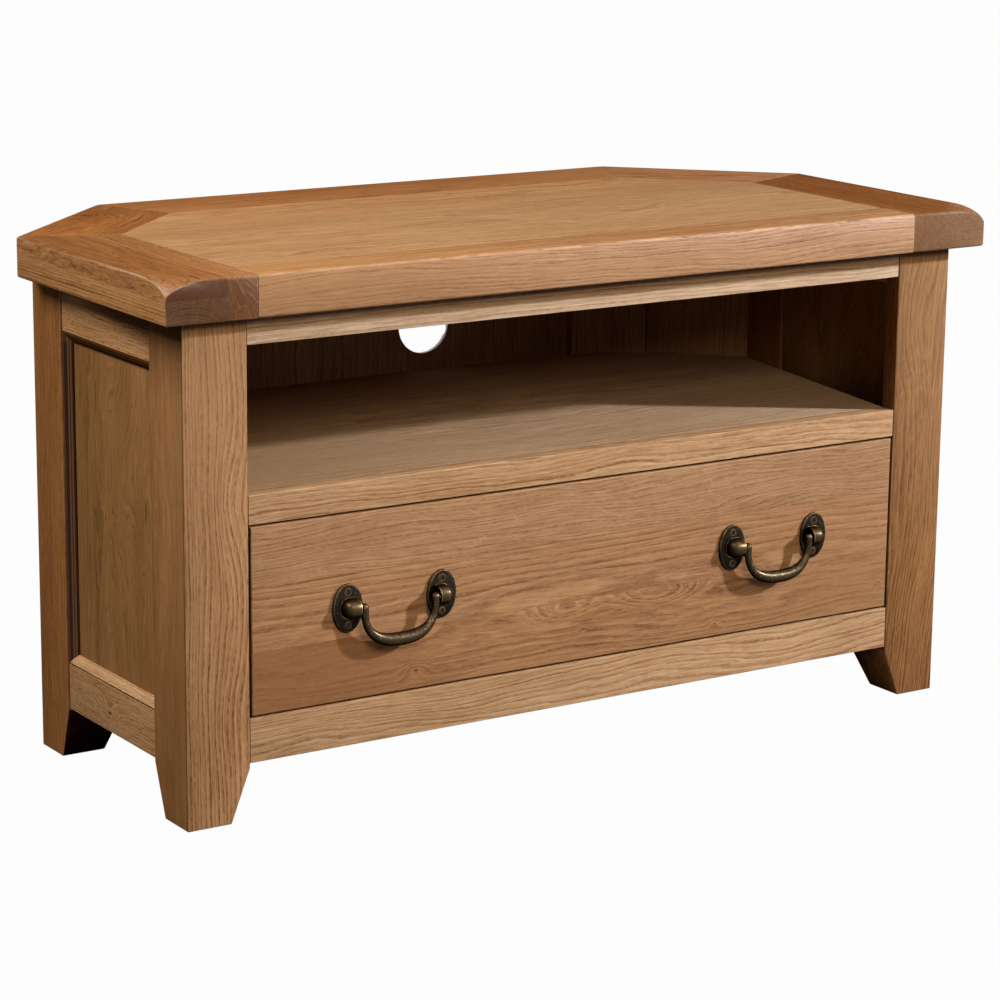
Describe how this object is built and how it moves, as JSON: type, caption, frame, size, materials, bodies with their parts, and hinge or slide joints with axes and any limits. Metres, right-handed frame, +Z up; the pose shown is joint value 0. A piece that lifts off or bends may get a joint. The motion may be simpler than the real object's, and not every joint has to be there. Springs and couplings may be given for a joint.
{
  "type": "corner tv cabinet",
  "caption": "Five-sided oak cabinet for a room corner: framed top, open compartment with a cable hole, wide drawer with bail handles, panelled sides and tapered feet.",
  "frame": {"origin": "on the floor, under the centre of the top's bounding box", "axes": "+X across the front to the viewer's right, +Y from the front to the back, +Z up"},
  "size_m": [1.05, 0.515, 0.575],
  "materials": {
    "top_frame_oak": "waxed oak, satin",
    "top_panel_oak": "waxed oak, satin",
    "end_oak": "darker waxed oak, satin",
    "leg_oak": "waxed oak, satin",
    "rail_oak": "pale waxed oak, satin",
    "drawer_oak": "waxed oak, satin",
    "shelf_oak": "waxed oak, satin",
    "inner_oak": "dark waxed oak, satin",
    "box_timber": "bare planed timber, matt",
    "antique_brass": "aged dark brass with rubbed edges",
    "screw_steel": "rust brown steel"
  },
  "bodies": {
    "cabinet": {"back_bottom_rail": "inner_oak", "back_panel": "inner_oak", "back_post_left": "inner_oak", "back_post_right": "inner_oak", "back_top_rail": "inner_oak", "diagonal_panel_left": "inner_oak", "diagonal_panel_right": "inner_oak", "drawer_guide_left": "box_timber", "drawer_guide_right": "box_timber", "drawer_kicker_left": "box_timber", "drawer_kicker_right": "box_timber", "drawer_runner_left": "box_timber", "drawer_runner_right": "box_timber", "drawer_stop": "box_timber", "front_bottom_rail": "rail_oak", "front_leg_left": "leg_oak", "front_leg_right": "leg_oak", "front_top_rail": "rail_oak", "shelf_back_batten": "inner_oak", "shelf_board": "shelf_oak", "shelf_front_strip": "rail_oak", "side_bottom_rail_left": "leg_oak", "side_bottom_rail_right": "leg_oak", "side_leg_left": "leg_oak", "side_leg_right": "leg_oak", "side_moulding_left": "inner_oak", "side_moulding_right": "inner_oak", "side_panel_left": "drawer_oak", "side_panel_right": "drawer_oak", "side_top_rail_left": "leg_oak", "side_top_rail_right": "leg_oak", "top_back_board": "top_frame_oak", "top_centre_panel": "top_panel_oak", "top_diagonal_board_left": "end_oak", "top_diagonal_board_right": "end_oak", "top_end_board_left": "end_oak", "top_end_board_right": "end_oak", "top_front_board": "top_frame_oak"},
    "drawer": {"drawer_back": "box_timber", "drawer_bottom": "box_timber", "drawer_front": "drawer_oak", "drawer_side_left": "box_timber", "drawer_side_right": "box_timber", "left_handle_plate_left": "antique_brass", "left_handle_plate_right": "antique_brass", "left_handle_screw_left_lower": "screw_steel", "left_handle_screw_left_upper": "screw_steel", "left_handle_screw_right_lower": "screw_steel", "left_handle_screw_right_upper": "screw_steel", "right_handle_plate_left": "antique_brass", "right_handle_plate_right": "antique_brass", "right_handle_screw_left_lower": "screw_steel", "right_handle_screw_left_upper": "screw_steel", "right_handle_screw_right_lower": "screw_steel", "right_handle_screw_right_upper": "screw_steel"},
    "left_bail": {"left_handle_bail": "antique_brass"},
    "right_bail": {"right_handle_bail": "antique_brass"}
  },
  "joints": [
    {"name": "drawer_slide", "type": "slide", "parent": "cabinet", "child": "drawer", "axis": [0, -1, 0], "range_m": [0, 0.26]},
    {"name": "left_bail_swing", "type": "hinge", "parent": "drawer", "child": "left_bail", "pos_m": [-0.2495, -0.246, 0.2124], "axis": [-1, 0, 0], "range_deg": [-4, 90]},
    {"name": "right_bail_swing", "type": "hinge", "parent": "drawer", "child": "right_bail", "pos_m": [0.2495, -0.246, 0.2124], "axis": [-1, 0, 0], "range_deg": [-4, 90]}
  ]
}
